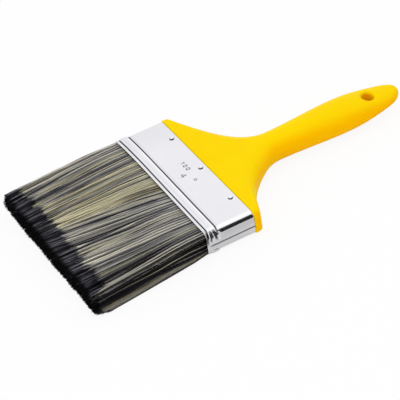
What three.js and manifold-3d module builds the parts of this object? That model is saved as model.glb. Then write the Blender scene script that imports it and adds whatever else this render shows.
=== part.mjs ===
// Flat wall brush: moulded handle, wrapped sheet ferrule, nails, resin, spacer strips and filament rows.
// Millimetres. X runs across the brush, Y from the filament tips to the handle's end, Z up.
// Every piece is first drawn with Y = 0 at the ferrule's mouth and Z = 0 at its mid-plane.
import * as THREE from 'three';
import { mergeVertices } from 'three/addons/utils/BufferGeometryUtils.js';
import Module from 'manifold-3d';

const wasm = await Module();
wasm.setup();

// Ferrule: one sheet wrapped into a flat tube with rounded edges
const ferruleWidth = 100;
const ferruleThickness = 14.5;
const ferruleLength = 27.5;
const ferruleEdgeRadius = 3.2;
const sheetWall = 0.5;
const lipRise = 0.3;
const beadRise = 0.7;
const grooveDepth = 0.25;
const firstGrooveFromMouth = 1.8;
const secondGrooveFromMouth = 6.7;
const lapWidth = 3.6;
const lapHeight = 0.35;

// Handle: one moulding, tenon inside the ferrule and grip outside
const handleLength = 118;
const shoulderProud = 0.4;
const shoulderLip = 3.5;
const shoulderCornerBlend = 4;
const sweepPower = 1.95;
const neckFromFerrule = 40;
const neckWidth = 18;
const neckThickness = 15;
const bellyFromEnd = 37;
const bellyWidth = 23.1;
const bellyThickness = 15.5;
const taperPower = 2.4;
const tailWidth = 10.2;
const tailThickness = 7.4;
const tailRounding = 9;
const tenonLength = 8.5;
const hangHoleRadius = 3.4;
const hangHoleFromEnd = 20.5;
const hangHoleRimFlare = 1.0;
const pocketWall = 2.6;
const pocketRib = 7;
const pocketDepth = 20;

// Nails: three through each face of the ferrule into the tenon
const nailsPerFace = 3;
const nailPitch = 31.5;
const nailFromFerruleEnd = 3;
const nailShankRadius = 0.8;
const nailHeadRadius = 1.4;
const nailHeadHeight = 0.55;
const nailDepth = 4.6;

// Filament pack, spacer strips and the resin that sets their butts
const freeLength = 67;
const rootDepth = 13;
const middleRowThickness = 2;
const stripThickness = 1.6;
const stripRecess = 0.8;
const stripInset = 2.5;
const tipThickness = 11.2;
const tipFlare = 2;
const tipDroop = 2.2;
const rowsMeetAt = 35;
const flexFromMouth = 10;
const flexClearance = 0.5;

// Clearances
const slip = 0.3;
const nailHeadSeat = 0.1;

const shoulderHalfWidth = ferruleWidth / 2 + shoulderProud;
const shoulderHalfThickness = ferruleThickness / 2 + shoulderProud;
const boreHalfWidth = ferruleWidth / 2 - sheetWall;
const boreHalfThickness = ferruleThickness / 2 - sheetWall;
const boreEdgeRadius = Math.max(ferruleEdgeRadius - sheetWall, sheetWall);
const packHalfWidth = boreHalfWidth - grooveDepth - slip;
const packHalfThickness = boreHalfThickness - grooveDepth - slip;
const packEdgeRadius = Math.max(boreEdgeRadius - slip, sheetWall);
const tenonStart = ferruleLength - tenonLength;
const bellyFromFerrule = handleLength - bellyFromEnd;
const hangHoleFromFerrule = handleLength - hangHoleFromEnd;
const middleHalfThickness = middleRowThickness / 2;
const outerRowThickness = packHalfThickness - middleHalfThickness - stripThickness - 2 * slip;

const yellowPlastic = new THREE.MeshStandardMaterial({ color: 0xffd400, roughness: 0.4, metalness: 0 });
const platedSteel = new THREE.MeshStandardMaterial({ color: 0xe6e6ec, roughness: 0.2, metalness: 1 });
const nailSteel = new THREE.MeshStandardMaterial({ color: 0xdcdce0, roughness: 0.25, metalness: 1 });
const setResin = new THREE.MeshStandardMaterial({ color: 0xb08a4a, roughness: 0.5, metalness: 0 });
const stripWood = new THREE.MeshStandardMaterial({ color: 0xd8b987, roughness: 0.8, metalness: 0 });
const mixedFilament = new THREE.MeshStandardMaterial({ color: 0x6e6658, roughness: 0.7, metalness: 0 });

// A closed geometry as a solid that can be cut and joined.
function solidOf(geometry) {
  const bare = geometry.clone();
  bare.deleteAttribute('normal');
  bare.deleteAttribute('uv');
  const merged = mergeVertices(bare, 1e-5);
  const vertProperties = new Float32Array(merged.attributes.position.array);
  const triVerts = new Uint32Array(merged.index.array);
  return new wasm.Manifold(new wasm.Mesh({ numProp: 3, vertProperties, triVerts }));
}

// A cut or joined solid back as a geometry.
function geometryOf(solid) {
  const mesh = solid.getMesh();
  const geometry = new THREE.BufferGeometry();
  geometry.setAttribute('position', new THREE.BufferAttribute(new Float32Array(mesh.vertProperties), 3));
  geometry.setIndex(new THREE.BufferAttribute(new Uint32Array(mesh.triVerts), 1));
  return geometry;
}

// A skin over rings of equal point count. Each ring is { y, outline: [[x, z], ...] }.
// An open skin is capped at both ends; a looped one joins its last ring to its first.
function skin(rings, looped = false) {
  const count = rings[0].outline.length;
  const positions = rings.flatMap((ring) => ring.outline.flatMap(([x, z]) => [x, ring.y, z]));
  const index = [];
  const spans = looped ? rings.length : rings.length - 1;
  for (let span = 0; span < spans; span += 1) {
    const here = span * count;
    const next = ((span + 1) % rings.length) * count;
    for (let i = 0; i < count; i += 1) {
      const j = (i + 1) % count;
      index.push(here + i, next + i, next + j, here + i, next + j, here + j);
    }
  }
  if (!looped) {
    const last = (rings.length - 1) * count;
    for (let i = 1; i < count - 1; i += 1) {
      index.push(0, i, i + 1);
      index.push(last, last + i + 1, last + i);
    }
  }
  const geometry = new THREE.BufferGeometry();
  geometry.setAttribute('position', new THREE.Float32BufferAttribute(positions, 3));
  geometry.setIndex(index);
  return geometry;
}

// A rectangle between two levels with elliptical corners, each given as { x, z } radii.
function roundedOutline(halfWidth, low, high, highCorner, lowCorner = highCorner, steps = 4) {
  const points = [];
  for (let corner = 0; corner < 4; corner += 1) {
    const isHigh = corner < 2;
    const sideX = corner === 0 || corner === 3 ? 1 : -1;
    const radii = isHigh ? highCorner : lowCorner;
    const level = isHigh ? high - radii.z : low + radii.z;
    for (let step = 0; step <= steps; step += 1) {
      const turn = (corner + step / steps) * Math.PI / 2;
      const x = sideX * (halfWidth - radii.x) + radii.x * Math.cos(turn);
      points.push([x, level + radii.z * Math.sin(turn)]);
    }
  }
  return points;
}

// A flat tube's outline with the same round radius on all four edges.
function tubeOutline(halfWidth, halfThickness, radius, steps = 4) {
  const corner = { x: radius, z: radius };
  return roundedOutline(halfWidth, -halfThickness, halfThickness, corner, corner, steps);
}

// Goes smoothly from 0 at start to 1 at end.
function ease(value, start, end) {
  const t = THREE.MathUtils.clamp((value - start) / (end - start), 0, 1);
  return (1 - Math.cos(Math.PI * t)) / 2;
}

// The smaller of two values, with the corner between them rounded over the given blend.
function softMinimum(a, b, blend) {
  const share = Math.max(blend - Math.abs(a - b), 0) / blend;
  return Math.min(a, b) - share * share * blend / 4;
}

// Quarter-round factor over the last stretch before the handle's end: 1 before it, 0 at the end.
function tailRound(fromFerrule, stretch) {
  const t = THREE.MathUtils.clamp((fromFerrule - (handleLength - stretch)) / stretch, 0, 1);
  return Math.sqrt(1 - t ** 2.4);
}

// Half the handle's width at a distance past the ferrule: lip, concave sweep, neck, belly and tail.
function handleHalfWidth(fromFerrule) {
  const sweepLeft = 1 - (fromFerrule - shoulderLip) / (neckFromFerrule - shoulderLip);
  const sweep = neckWidth / 2 + (shoulderHalfWidth - neckWidth / 2) * Math.max(sweepLeft, 0) ** sweepPower;
  const shoulder = softMinimum(shoulderHalfWidth, sweep, shoulderCornerBlend);
  const swell = (bellyWidth - neckWidth) / 2 * ease(fromFerrule, neckFromFerrule, bellyFromFerrule);
  const past = Math.max(fromFerrule - bellyFromFerrule, 0) / (handleLength - bellyFromFerrule);
  const taper = (bellyWidth - tailWidth) / 2 * past ** taperPower;
  return (shoulder + swell - taper) * tailRound(fromFerrule, tailRounding);
}

// Half the handle's thickness at a distance past the ferrule.
function handleHalfThickness(fromFerrule) {
  const thin = (shoulderHalfThickness - neckThickness / 2) * ease(fromFerrule, 0, neckFromFerrule);
  const swell = (bellyThickness - neckThickness) / 2 * ease(fromFerrule, neckFromFerrule, bellyFromFerrule);
  const taper = (bellyThickness - tailThickness) / 2 * ease(fromFerrule, bellyFromFerrule, handleLength);
  return (shoulderHalfThickness - thin + swell - taper) * tailRound(fromFerrule, tailRounding / 2);
}

// The section's corners open from the shoulder's small edge radius to a full ellipse at the neck.
function handleOutline(fromFerrule) {
  const halfWidth = handleHalfWidth(fromFerrule);
  const halfThickness = handleHalfThickness(fromFerrule);
  const open = ease(fromFerrule, -shoulderLip, neckFromFerrule);
  const corner = {
    x: Math.min(THREE.MathUtils.lerp(ferruleEdgeRadius, halfWidth, open), halfWidth * 0.98),
    z: Math.min(THREE.MathUtils.lerp(ferruleEdgeRadius, halfThickness, open), halfThickness * 0.98),
  };
  return roundedOutline(halfWidth, -halfThickness, halfThickness, corner, corner, 6);
}

// A straight drill shape along Z on the centre line, wider at both faces by the flare.
function drill(radius, halfDepth, flare, y) {
  const profile = [
    [0, -halfDepth - 1],
    [radius + flare, -halfDepth - 1],
    [radius + flare, -halfDepth + 0.01],
    [radius, -halfDepth + flare + 0.02],
    [radius, halfDepth - flare - 0.02],
    [radius + flare, halfDepth - 0.01],
    [radius + flare, halfDepth + 1],
    [0, halfDepth + 1],
  ].map(([r, h]) => new THREE.Vector2(r, h));
  const geometry = new THREE.LatheGeometry(profile, 20);
  geometry.rotateX(Math.PI / 2);
  geometry.translate(0, y, 0);
  return solidOf(geometry);
}

// Places of the nails across the brush.
function nailPlaces() {
  return Array.from({ length: nailsPerFace }, (_, i) => (i - (nailsPerFace - 1) / 2) * nailPitch);
}

// Clearance hole for one nail, from outside the face down past the nail's point.
function nailHole(x, face) {
  const depth = nailDepth + slip;
  const reach = depth + 2;
  const middle = ferruleThickness / 2 - depth + reach / 2;
  const geometry = new THREE.CylinderGeometry(nailShankRadius + slip, nailShankRadius + slip, reach, 12);
  geometry.rotateX(Math.PI / 2);
  geometry.translate(x, ferruleLength - nailFromFerruleEnd, face * middle);
  return solidOf(geometry);
}

// Core pockets in the tenon, open towards the resin, on both sides of each nail's rib.
function corePockets() {
  const tenonHalfWidth = boreHalfWidth - slip;
  const halfHeight = boreHalfThickness - slip - pocketWall;
  const places = nailPlaces();
  const pockets = places.slice(0, -1).map((x, i) => ({
    from: x + pocketRib / 2,
    to: places[i + 1] - pocketRib / 2,
    depth: pocketDepth,
  }));
  const outerFrom = places[places.length - 1] + pocketRib / 2;
  const outerTo = tenonHalfWidth - pocketWall;
  pockets.push({ from: outerFrom, to: outerTo, depth: tenonLength });
  pockets.push({ from: -outerTo, to: -outerFrom, depth: tenonLength });
  return pockets.map(({ from, to, depth }) => {
    const box = new THREE.BoxGeometry(to - from, depth + 1, 2 * halfHeight);
    box.translate((from + to) / 2, tenonStart + depth / 2 - 0.5, 0);
    return solidOf(box);
  });
}

// Distances past the ferrule at which the grip's sections are set: closest at the shoulder and the end.
function gripStations() {
  const stations = [];
  const shoulderSteps = 14;
  for (let step = 0; step < shoulderSteps; step += 1) {
    stations.push(neckFromFerrule * (step / shoulderSteps) ** 1.6);
  }
  const gripSteps = 9;
  const roundingStart = handleLength - tailRounding;
  for (let step = 0; step < gripSteps; step += 1) {
    stations.push(THREE.MathUtils.lerp(neckFromFerrule, roundingStart, step / gripSteps));
  }
  const tailSteps = 7;
  for (let step = 0; step <= tailSteps; step += 1) {
    const turn = step / tailSteps * Math.PI / 2;
    stations.push(roundingStart + (tailRounding - 0.02) * Math.sin(turn));
  }
  return stations;
}

// One-piece moulding: tenon, shoulder, neck, belly and tail, with the hang hole and core pockets cut.
function handleGeometry() {
  const gripStart = ferruleLength + slip;
  const grip = gripStations().map((past) => ({ y: gripStart + past, outline: handleOutline(past) }));
  const tenonOutline = tubeOutline(boreHalfWidth - slip, boreHalfThickness - slip, packEdgeRadius);
  const tenon = [
    { y: tenonStart, outline: tenonOutline },
    { y: gripStart + 1, outline: tenonOutline },
  ];
  let handle = solidOf(skin(grip)).add(solidOf(skin(tenon)));
  const holeHalfDepth = handleHalfThickness(hangHoleFromFerrule);
  const hole = drill(hangHoleRadius, holeHalfDepth, hangHoleRimFlare, gripStart + hangHoleFromFerrule);
  handle = handle.subtract(hole);
  for (const pocket of corePockets()) {
    handle = handle.subtract(pocket);
  }
  for (const x of nailPlaces()) {
    handle = handle.subtract(nailHole(x, 1)).subtract(nailHole(x, -1));
  }
  return geometryOf(handle);
}

// Wrapped tube: the lip, two grooves and the bead between them are rolled in, all round.
function ferruleGeometry() {
  const beadSide = 0.7;
  const rolled = [
    [0, lipRise / 2],
    [0.3, lipRise],
    [firstGrooveFromMouth - 0.5, lipRise],
    [firstGrooveFromMouth, -grooveDepth],
    [firstGrooveFromMouth + beadSide, beadRise * 0.75],
    [firstGrooveFromMouth + 2 * beadSide, beadRise],
    [secondGrooveFromMouth - 2 * beadSide, beadRise],
    [secondGrooveFromMouth - beadSide, beadRise * 0.75],
    [secondGrooveFromMouth, -grooveDepth],
    [secondGrooveFromMouth + 0.5, 0],
    [ferruleLength, 0],
  ];
  const ring = (y, rise) => {
    const radius = Math.max(ferruleEdgeRadius + rise, sheetWall);
    return { y, outline: tubeOutline(ferruleWidth / 2 + rise, ferruleThickness / 2 + rise, radius, 5) };
  };
  const outside = rolled.map(([y, rise]) => ring(y, rise));
  const inside = rolled.map(([y, rise]) => ring(y, Math.min(rise, 0) - sheetWall)).reverse();
  let ferrule = solidOf(skin([...outside, ...inside], true));
  const lapStart = secondGrooveFromMouth + 1;
  const lapLength = ferruleLength - lapStart;
  const lap = new THREE.BoxGeometry(lapHeight + sheetWall / 2, lapLength, lapWidth);
  lap.translate(ferruleWidth / 2 + (lapHeight - sheetWall / 2) / 2, lapStart + lapLength / 2, -lapWidth / 4);
  ferrule = ferrule.add(solidOf(lap));
  for (const x of nailPlaces()) {
    ferrule = ferrule.subtract(nailHole(x, 1)).subtract(nailHole(x, -1));
  }
  return geometryOf(ferrule);
}

// Domed nail, head up along its own Z, point down.
function nailGeometry() {
  const profile = [
    [0, -nailDepth],
    [nailShankRadius, -nailDepth + 1.2],
    [nailShankRadius, nailHeadSeat],
    [nailHeadRadius, nailHeadSeat],
    [nailHeadRadius * 0.9, nailHeadSeat + nailHeadHeight * 0.55],
    [nailHeadRadius * 0.5, nailHeadSeat + nailHeadHeight * 0.9],
    [0, nailHeadSeat + nailHeadHeight],
  ].map(([r, h]) => new THREE.Vector2(r, h));
  const geometry = new THREE.LatheGeometry(profile, 12);
  geometry.rotateX(Math.PI / 2);
  return geometry;
}

// Set resin that fills the ferrule between the filament butts and the tenon.
function resinGeometry() {
  const outline = tubeOutline(boreHalfWidth - slip, boreHalfThickness - slip, packEdgeRadius);
  return skin([
    { y: rootDepth + slip, outline },
    { y: tenonStart - slip, outline },
  ]);
}

// Where each filament row lies at the mouth and at the tips: its lowest and highest level.
const tipScale = (tipThickness - 2 * slip) / (2 * outerRowThickness + 2 * middleHalfThickness);
const tipMiddleHalf = middleHalfThickness * tipScale;
const rowLevels = {
  front: { rootLow: packHalfThickness - outerRowThickness, rootHigh: packHalfThickness,
    tipLow: tipMiddleHalf + slip, tipHigh: tipThickness / 2 },
  middle: { rootLow: -middleHalfThickness, rootHigh: middleHalfThickness,
    tipLow: -tipMiddleHalf, tipHigh: tipMiddleHalf },
  back: { rootLow: -packHalfThickness, rootHigh: outerRowThickness - packHalfThickness,
    tipLow: -tipThickness / 2, tipHigh: -tipMiddleHalf - slip },
};

// Outline of one filament row at a distance out of the mouth. The rows close up past the strips,
// fan out a little in width and droop towards the tips.
function rowOutline(levels, outOfMouth) {
  const out = Math.max(outOfMouth - flexFromMouth, 0);
  const meet = THREE.MathUtils.clamp(out / (rowsMeetAt - flexFromMouth), 0, 1);
  const along = out / (freeLength - flexFromMouth);
  const inner = (root, tip) => THREE.MathUtils.lerp(root, tip, meet);
  const outer = (root, tip) => THREE.MathUtils.lerp(root, tip, along);
  const isOuterHigh = levels.rootHigh === packHalfThickness;
  const isOuterLow = levels.rootLow === -packHalfThickness;
  const high = (isOuterHigh ? outer : inner)(levels.rootHigh, levels.tipHigh);
  const low = (isOuterLow ? outer : inner)(levels.rootLow, levels.tipLow);
  const halfWidth = packHalfWidth + (ferruleWidth / 2 + tipFlare - packHalfWidth) * along;
  const thickness = high - low;
  const outerRadius = Math.min(packEdgeRadius, thickness * 0.8);
  const innerRadius = Math.min(0.4, thickness * 0.15);
  const highRadius = isOuterHigh ? outerRadius : innerRadius;
  const lowRadius = isOuterLow ? outerRadius : innerRadius;
  const highCorner = { x: highRadius, z: highRadius };
  const lowCorner = { x: lowRadius, z: lowRadius };
  const droop = tipDroop * along * along;
  return roundedOutline(halfWidth, low - droop, high - droop, highCorner, lowCorner, 3);
}

// One filament row from its butt in the resin to its tips.
function wholeRow(levels) {
  const distances = [-rootDepth, 0, flexFromMouth - packHalfThickness - 1, flexFromMouth];
  for (let step = 1; step <= 6; step += 1) {
    distances.push(flexFromMouth + (freeLength - flexFromMouth) * step / 6);
  }
  distances.push(rowsMeetAt);
  distances.sort((a, b) => a - b);
  const spaced = distances.filter((d, i) => i === 0 || d - distances[i - 1] > 0.5);
  const rings = spaced.reverse().map((d) => ({ y: -d, outline: rowOutline(levels, d) }));
  return solidOf(skin(rings));
}

// Everything on the tips' side of the bend: the half-space past the bend line and a round nose about it.
function bendNose(radius) {
  const across = ferruleWidth + 4 * tipFlare + 20;
  const high = 4 * ferruleThickness;
  const ahead = new THREE.BoxGeometry(across, 2 * freeLength, high);
  ahead.translate(0, -flexFromMouth - freeLength, 0);
  const nose = new THREE.CylinderGeometry(radius, radius, across, 48);
  nose.rotateZ(Math.PI / 2);
  nose.translate(0, -flexFromMouth, 0);
  return solidOf(ahead).add(solidOf(nose));
}

// The fixed root of a row, hollowed round the bend line so that the free part can turn.
function rowRootGeometry(levels) {
  return geometryOf(wholeRow(levels).subtract(bendNose(packHalfThickness + flexClearance)));
}

// The free part of a row, with a round nose about the bend line.
function rowFreeGeometry(levels) {
  return geometryOf(wholeRow(levels).intersect(bendNose(packHalfThickness)));
}

// Thin strip that holds two filament rows apart at their roots and leaves a paint reservoir.
function stripGeometry() {
  const length = rootDepth - stripRecess;
  const strip = new THREE.BoxGeometry(2 * (packHalfWidth - stripInset), length, stripThickness);
  strip.translate(0, stripRecess + length / 2, 0);
  return strip;
}

function named(name, geometry, material) {
  const mesh = new THREE.Mesh(geometry, material);
  mesh.name = name;
  return mesh;
}

const brush = new THREE.Group();
brush.add(named('handle', handleGeometry(), yellowPlastic));
brush.add(named('ferrule', ferruleGeometry(), platedSteel));
brush.add(named('resin_setting', resinGeometry(), setResin));

for (const [side, sign] of [['front', 1], ['back', -1]]) {
  const strip = named(`${side}_spacer_strip`, stripGeometry(), stripWood);
  strip.position.z = sign * (middleHalfThickness + slip + stripThickness / 2);
  brush.add(strip);
  nailPlaces().forEach((x, i) => {
    const nail = named(`${side}_nail_${i + 1}`, nailGeometry(), nailSteel);
    nail.position.set(x, ferruleLength - nailFromFerruleEnd, sign * ferruleThickness / 2);
    nail.rotation.y = sign > 0 ? 0 : Math.PI;
    brush.add(nail);
  });
}

for (const [side, levels] of Object.entries(rowLevels)) {
  brush.add(named(`${side}_filament_roots`, rowRootGeometry(levels), mixedFilament));
  brush.add(named(`${side}_filaments`, rowFreeGeometry(levels), mixedFilament));
}

// The brush lies flat: the origin is under the middle of its length, on the surface that it rests on.
const restHeight = Math.max(
  ferruleThickness / 2 + beadRise,
  ferruleThickness / 2 + nailHeadSeat + nailHeadHeight,
  shoulderHalfThickness,
  bellyThickness / 2,
  tipThickness / 2 + tipDroop,
);
brush.position.set(0, (freeLength - ferruleLength - slip - handleLength) / 2, restHeight);

export default brush;
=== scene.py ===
"""A flat wall brush, 100 mm wide: its looks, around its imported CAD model.

The sections follow the order in which such a brush is put together: filaments and what holds them,
ferrule, nails, handle, and last the room it lies in. The filaments point along -Y, the handle along +Y,
and the brush lies with its back on Z = 0. Sizes are in millimetres until they go into a mesh.
"""

import bpy
import numpy as np
from mathutils import Matrix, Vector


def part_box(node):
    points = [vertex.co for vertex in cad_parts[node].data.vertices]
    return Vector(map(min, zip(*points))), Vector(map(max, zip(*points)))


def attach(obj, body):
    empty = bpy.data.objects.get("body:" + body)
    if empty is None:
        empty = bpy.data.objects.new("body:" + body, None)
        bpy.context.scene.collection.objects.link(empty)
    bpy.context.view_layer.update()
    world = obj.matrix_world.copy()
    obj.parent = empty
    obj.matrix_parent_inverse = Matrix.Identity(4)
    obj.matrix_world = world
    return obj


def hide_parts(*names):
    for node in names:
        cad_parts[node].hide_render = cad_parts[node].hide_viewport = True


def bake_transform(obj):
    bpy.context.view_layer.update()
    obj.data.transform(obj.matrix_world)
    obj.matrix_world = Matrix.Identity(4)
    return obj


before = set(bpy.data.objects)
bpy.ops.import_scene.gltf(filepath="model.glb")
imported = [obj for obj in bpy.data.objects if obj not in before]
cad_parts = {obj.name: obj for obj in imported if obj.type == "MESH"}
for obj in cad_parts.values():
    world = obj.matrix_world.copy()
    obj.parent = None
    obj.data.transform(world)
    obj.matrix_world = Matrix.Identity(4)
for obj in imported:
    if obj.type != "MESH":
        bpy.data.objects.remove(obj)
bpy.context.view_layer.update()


# ---- Filaments ------------------------------------------------------------------------------
# Three rows of tapered synthetic filaments, cream, taupe and grey mixed, with tips dyed black.
# Every filament is a tube of its own. The rows start apart, where the spacer strips hold them, and
# close into one bundle; the filaments lie in small locks that cross and dip under each other.
METRE = 0.001
ferrule_low, ferrule_high = (np.array(corner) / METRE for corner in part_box("ferrule"))
MOUTH = ferrule_low[1]
MIDDLE = (ferrule_low[2] + ferrule_high[2]) / 2
FREE_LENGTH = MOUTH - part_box("middle_filaments")[0].y / METRE
HALF_WIDTH_AT_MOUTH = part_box("middle_filament_roots")[1].x / METRE
HALF_WIDTH_AT_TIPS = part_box("middle_filaments")[1].x / METRE
# SET_IN is how far a filament starts inside the ferrule, and ROWS_MEET how far out the rows have closed up.
# DYE_STARTS is where the dye begins on the filament's map, which runs from 0 at the root to 1 at the tip.
SET_IN = 0.6
ROWS_MEET = 35
DROOP = 2.2
CORNER_AT_MOUTH, CORNER_AT_TIPS = 1.3, 1.0
ROOT_RADIUS, DYE_RADIUS, TIP_RADIUS = 0.145, 0.125, 0.05
LOCK_WIDTH, LOCK_LAYERS = 0.9, 5
# Painted shade by layer in a lock, from the top down: the top layer a little lighter, those under it darker.
LAYER_PAINTED_SHADE = np.array([0.08, -0.10, -0.22, -0.22, -0.22])
PALE_STREAKS, DARK_STREAKS, STREAK_WIDTH = (-43, -19, -5, 1, 32), (-37, -25, -13, 21, 42), 4
DYE_LENGTH, DYE_STARTS = 10.2, 0.8
RINGS = 10
GOLDEN_STEP = 0.6180339887


def wander(at, spacing, rng):
    """A smooth random line over `at`: a random height from -1 to 1 every `spacing`, eased in between."""
    start = at.min() - spacing
    heights = rng.uniform(-1, 1, int((at.max() - start) / spacing) + 3)
    place = (at - start) / spacing
    below = np.floor(place).astype(int)
    share = (place - below) ** 2 * (3 - 2 * (place - below))
    return heights[below] * (1 - share) + heights[below + 1] * share


def ease(value, start, end):
    """0 before start, 1 after end, and half a cosine wave between them."""
    return (1 - np.cos(np.pi * np.clip((value - start) / (end - start), 0, 1))) / 2


def bells(at, places, width):
    """A row of bell curves, one centred on each place, summed up."""
    return sum(np.exp(-(((at - place) / width) ** 2)) for place in places)


def corner_drop(x, half_width, radius):
    """How far a rounded corner falls below the flat: a quarter circle over its last `radius`."""
    past = np.clip(np.abs(x) - (half_width - radius), 0, radius)
    return radius - np.sqrt(radius**2 - past**2)


def mesh_piece(name, points, faces, material):
    """A smooth shaded mesh object at the origin, from points in millimetres and lists of corners."""
    mesh = bpy.data.meshes.new(name)
    mesh.from_pydata((points * METRE).tolist(), [], faces)
    mesh.shade_smooth()
    mesh.materials.append(material)
    piece = bpy.data.objects.new(name, mesh)
    bpy.context.scene.collection.objects.link(piece)
    return piece


def new_finish(name, **settings):
    """A material with one Principled shader and its constant sockets set, with its nodes and links."""
    finish = bpy.data.materials.new(name)
    finish.use_nodes = True
    nodes, links = finish.node_tree.nodes, finish.node_tree.links
    shader = nodes["Principled BSDF"]
    for socket, value in settings.items():
        shader.inputs[socket.replace("_", " ")].default_value = value
    return finish, nodes, links, shader


def ramp_node(nodes, stops, mode="LINEAR"):
    """A Color Ramp with the stops given as (place, grey or (r, g, b))."""
    ramp = nodes.new("ShaderNodeValToRGB")
    ramp.color_ramp.interpolation = mode
    elements = ramp.color_ramp.elements
    while len(elements) < len(stops):
        elements.new(0.5)
    for element, (place, colour) in zip(elements, stops):
        element.position = place
        element.color = (*(colour if isinstance(colour, tuple) else (colour,) * 3), 1)
    return ramp


def mix_node(nodes, links, factor, first, second, mode="MIX"):
    """A colour Mix of two sockets or colours; factor is a socket or a number. Returns its result socket."""
    mix = nodes.new("ShaderNodeMix")
    mix.data_type = "RGBA"
    mix.blend_type = mode
    for socket, value in ((mix.inputs[0], factor), (mix.inputs[6], first), (mix.inputs[7], second)):
        if isinstance(value, bpy.types.NodeSocket):
            links.new(value, socket)
        else:
            socket.default_value = value
    return mix.outputs[2]


filament_finish, nodes, links, shader = new_finish("filament", Roughness=0.5, Specular_IOR_Level=0.035)
along_filament = nodes.new("ShaderNodeUVMap")
along_filament.uv_map = "OFBake"
split = nodes.new("ShaderNodeSeparateXYZ")
links.new(along_filament.outputs[0], split.inputs[0])
tones = ramp_node(nodes, [
    (0.02, (0.010, 0.010, 0.015)), (0.12, (0.055, 0.055, 0.066)), (0.25, (0.23, 0.226, 0.228)),
    (0.37, (0.50, 0.485, 0.44)), (0.48, (0.88, 0.84, 0.70)),
    (0.52, (0.016, 0.015, 0.014)), (0.62, (0.10, 0.092, 0.074)), (0.75, (0.40, 0.36, 0.255)),
    (0.87, (0.76, 0.70, 0.47)), (0.98, (1.0, 0.94, 0.68)),
])
# The dyed tips run from black to bluish grey: unevenly dyed filaments, whose paler greys also serve as
# painted glints, the sheen on glossy black tips; the very ends are darker still.
dye_and_glint_tones = ramp_node(nodes, [
    (0.02, (0.002, 0.002, 0.003)), (0.20, (0.009, 0.009, 0.012)), (0.32, (0.028, 0.028, 0.034)),
    (0.40, (0.062, 0.062, 0.073)), (0.48, (0.22, 0.22, 0.25)), (0.52, (0.002, 0.002, 0.003)),
    (0.70, (0.009, 0.009, 0.012)), (0.82, (0.028, 0.028, 0.034)), (0.90, (0.062, 0.062, 0.073)),
    (0.98, (0.22, 0.22, 0.24)),
])
links.new(split.outputs[0], tones.inputs[0])
links.new(split.outputs[0], dye_and_glint_tones.inputs[0])
# Painted shade along each filament: darkest just out of the ferrule, clearing to full tone by the dye.
painted_shade_along = ramp_node(nodes, [
    (0.0, (0.98, 0.99, 1.0)), (0.05, (0.88, 0.90, 0.94)), (0.14, (0.88, 0.89, 0.92)),
    (0.5, (0.91, 0.91, 0.90)), (0.76, (1.0, 1.0, 1.0)),
])
dyed = ramp_node(nodes, [(DYE_STARTS - 0.006, 0.0), (DYE_STARTS + 0.008, 1.0)])
tip_end = ramp_node(nodes, [(0.95, 1.0), (0.99, 0.05)])
for ramp in (painted_shade_along, dyed, tip_end):
    links.new(split.outputs[1], ramp.inputs[0])
undyed = mix_node(nodes, links, 1.0, tones.outputs[0], painted_shade_along.outputs[0], "MULTIPLY")
dye_and_glint_colour = mix_node(nodes, links, 1.0, dye_and_glint_tones.outputs[0], tip_end.outputs[0], "MULTIPLY")
colour = mix_node(nodes, links, dyed.outputs[0], undyed, dye_and_glint_colour)
links.new(colour, shader.inputs["Base Color"])


def combed(place):
    """Sideways run of the filaments per millimetre out, by place across the bundle from -1 to 1: the
    middle was combed to one side and the far part slightly to the other."""
    run = -0.20 * np.exp(-(((place - 0.12) / 0.30) ** 2)) - 0.10 * np.exp(-(((place - 0.62) / 0.22) ** 2))
    return run + 0.05 * np.exp(-(((place + 0.72) / 0.22) ** 2))


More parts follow.
